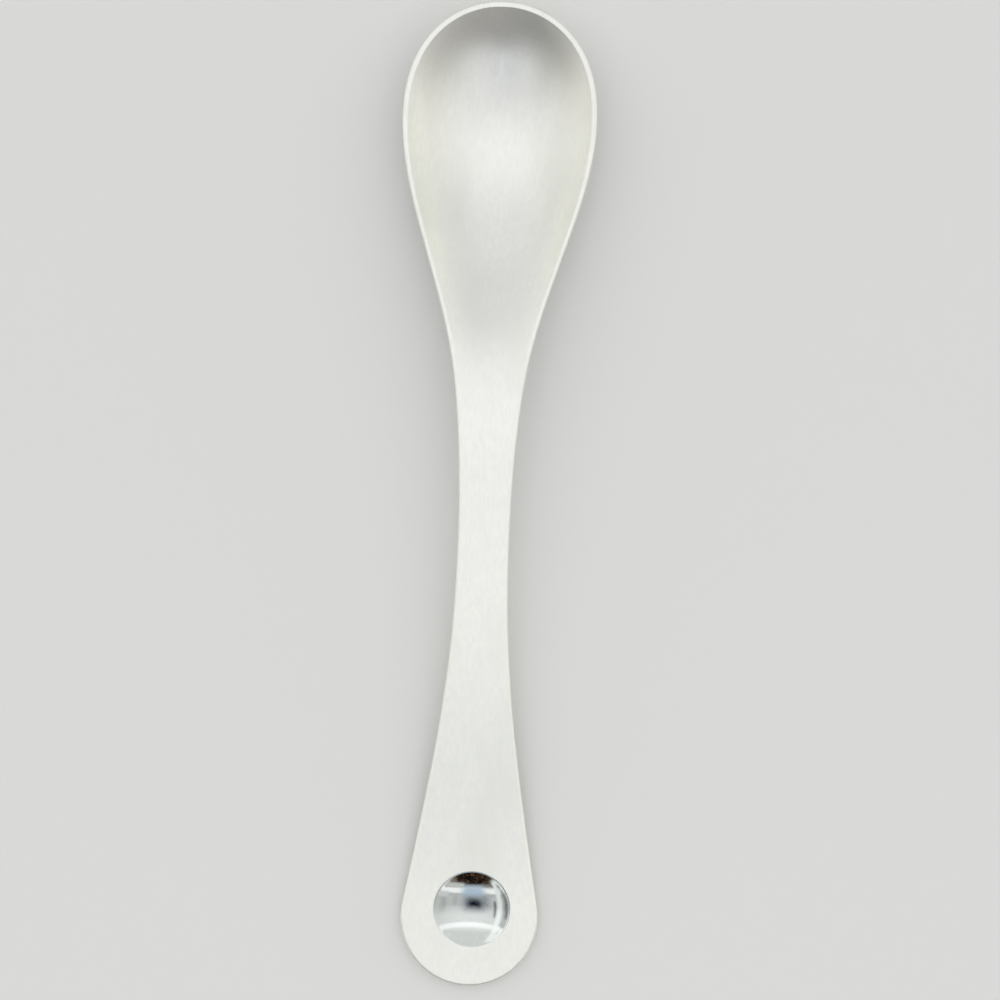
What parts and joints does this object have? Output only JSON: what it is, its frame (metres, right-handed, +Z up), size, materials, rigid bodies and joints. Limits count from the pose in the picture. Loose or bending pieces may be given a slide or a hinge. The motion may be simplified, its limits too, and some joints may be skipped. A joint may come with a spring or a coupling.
{
  "type": "tablespoon",
  "caption": "One-piece satin steel tablespoon with a deep egg-shaped bowl, a narrow waist and a wide round-ended handle with a polished round dimple, for eating and serving.",
  "frame": {"origin": "middle of the spoon's length and width, on the plane of the table that it lies on", "axes": "+Y along the spoon towards the tip of the bowl, +X across it, +Z up from the table"},
  "size_m": [0.0404, 0.205, 0.0129],
  "materials": {
    "satin_steel": "satin, with fine lines along the spoon; the dimple is polished"
  },
  "bodies": {
    "root": {"spoon": "satin_steel"}
  },
  "joints": []
}
